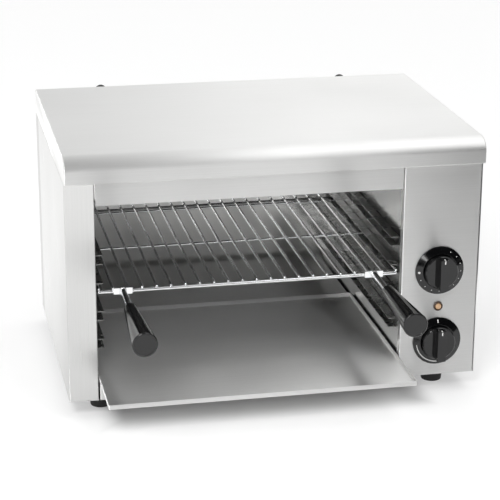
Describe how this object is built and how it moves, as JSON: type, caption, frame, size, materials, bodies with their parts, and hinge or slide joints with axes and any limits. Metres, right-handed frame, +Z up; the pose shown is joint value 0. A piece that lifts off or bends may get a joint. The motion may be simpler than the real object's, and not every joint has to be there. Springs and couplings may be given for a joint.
{
  "type": "countertop salamander grill",
  "caption": "Open-fronted stainless countertop grill: pull-out wire rack with two black grips under overhead heating tubes, sliding drip tray, control column with two knobs and a lamp.",
  "frame": {"origin": "on the floor, at the middle of the bounding box with the rack and tray as pictured", "axes": "+X to the right seen from the front, +Y to the back, +Z up; the rack and the tray slide out along -Y"},
  "size_m": [0.6, 0.618, 0.386],
  "materials": {
    "brushed_steel": "brushed stainless sheet, satin",
    "liner_steel": "bright rolled stainless sheet of the cooking space",
    "chrome_wire": "chrome-plated round wire and tube",
    "black_plastic": "black moulded phenolic, semi-gloss",
    "black_rubber": "black moulded rubber, matt",
    "amber_lens": "small clear amber lens",
    "quartz_glass": "milky quartz tube with ceramic ends",
    "ceramic_fibre": "soft white ceramic fibre",
    "switch_plastic": "cream moulded plastic",
    "wire_sleeve": "woven glass-fibre sleeving"
  },
  "bodies": {
    "cabinet": {"top_cover": "brushed_steel", "left_side_panel": "brushed_steel", "right_side_panel": "brushed_steel", "control_fascia": "brushed_steel", "header_panel": "brushed_steel", "back_panel": "brushed_steel", "cavity_floor": "liner_steel", "base_pan": "liner_steel", "left_liner": "liner_steel", "right_liner": "liner_steel", "back_liner": "liner_steel", "roof_reflector": "liner_steel", "left_guide_1": "liner_steel", "left_guide_2": "liner_steel", "left_guide_3": "liner_steel", "left_guide_4": "liner_steel", "right_guide_1": "liner_steel", "right_guide_2": "liner_steel", "right_guide_3": "liner_steel", "right_guide_4": "liner_steel", "insulation_blanket": "ceramic_fibre", "heating_tube_1": "quartz_glass", "heating_tube_2": "quartz_glass", "heating_tube_3": "quartz_glass", "heating_tube_4": "quartz_glass", "regulator_dial": "black_plastic", "regulator_body": "switch_plastic", "timer_dial": "black_plastic", "timer_body": "switch_plastic", "pilot_lamp_body": "black_plastic", "cable_gland": "black_plastic", "pilot_lens": "amber_lens", "foot_front_left": "black_rubber", "foot_screw_front_left": "chrome_wire", "foot_front_right": "black_rubber", "foot_screw_front_right": "chrome_wire", "foot_rear_left": "black_rubber", "foot_screw_rear_left": "chrome_wire", "foot_rear_right": "black_rubber", "foot_screw_rear_right": "chrome_wire", "rear_bumper_left": "black_rubber", "rear_bumper_right": "black_rubber", "back_screw_left_low": "chrome_wire", "back_screw_left_high": "chrome_wire", "back_screw_right_low": "chrome_wire", "back_screw_right_high": "chrome_wire", "terminal_block": "switch_plastic", "wire_loom": "wire_sleeve"},
    "rack": {"rack_grid": "chrome_wire", "handle_stem_left": "chrome_wire", "handle_stem_right": "chrome_wire", "handle_grip_left": "black_plastic", "handle_grip_right": "black_plastic"},
    "tray": {"drip_tray": "brushed_steel"},
    "regulator_control": {"regulator_knob": "black_plastic", "regulator_shaft": "chrome_wire"},
    "timer_control": {"timer_knob": "black_plastic", "timer_shaft": "chrome_wire"}
  },
  "joints": [
    {"name": "rack_slide", "type": "slide", "parent": "cabinet", "child": "rack", "axis": [0, -1, 0], "range_m": [0, 0.25]},
    {"name": "tray_slide", "type": "slide", "parent": "cabinet", "child": "tray", "axis": [0, -1, 0], "range_m": [-0.0984, 0.17]},
    {"name": "regulator_turn", "type": "hinge", "parent": "cabinet", "child": "regulator_control", "pos_m": [0.241, -0.111, 0.189], "axis": [0, 1, 0], "range_deg": [0, 270]},
    {"name": "timer_turn", "type": "hinge", "parent": "cabinet", "child": "timer_control", "pos_m": [0.241, -0.111, 0.0794], "axis": [0, 1, 0], "range_deg": [-45, 270]}
  ]
}
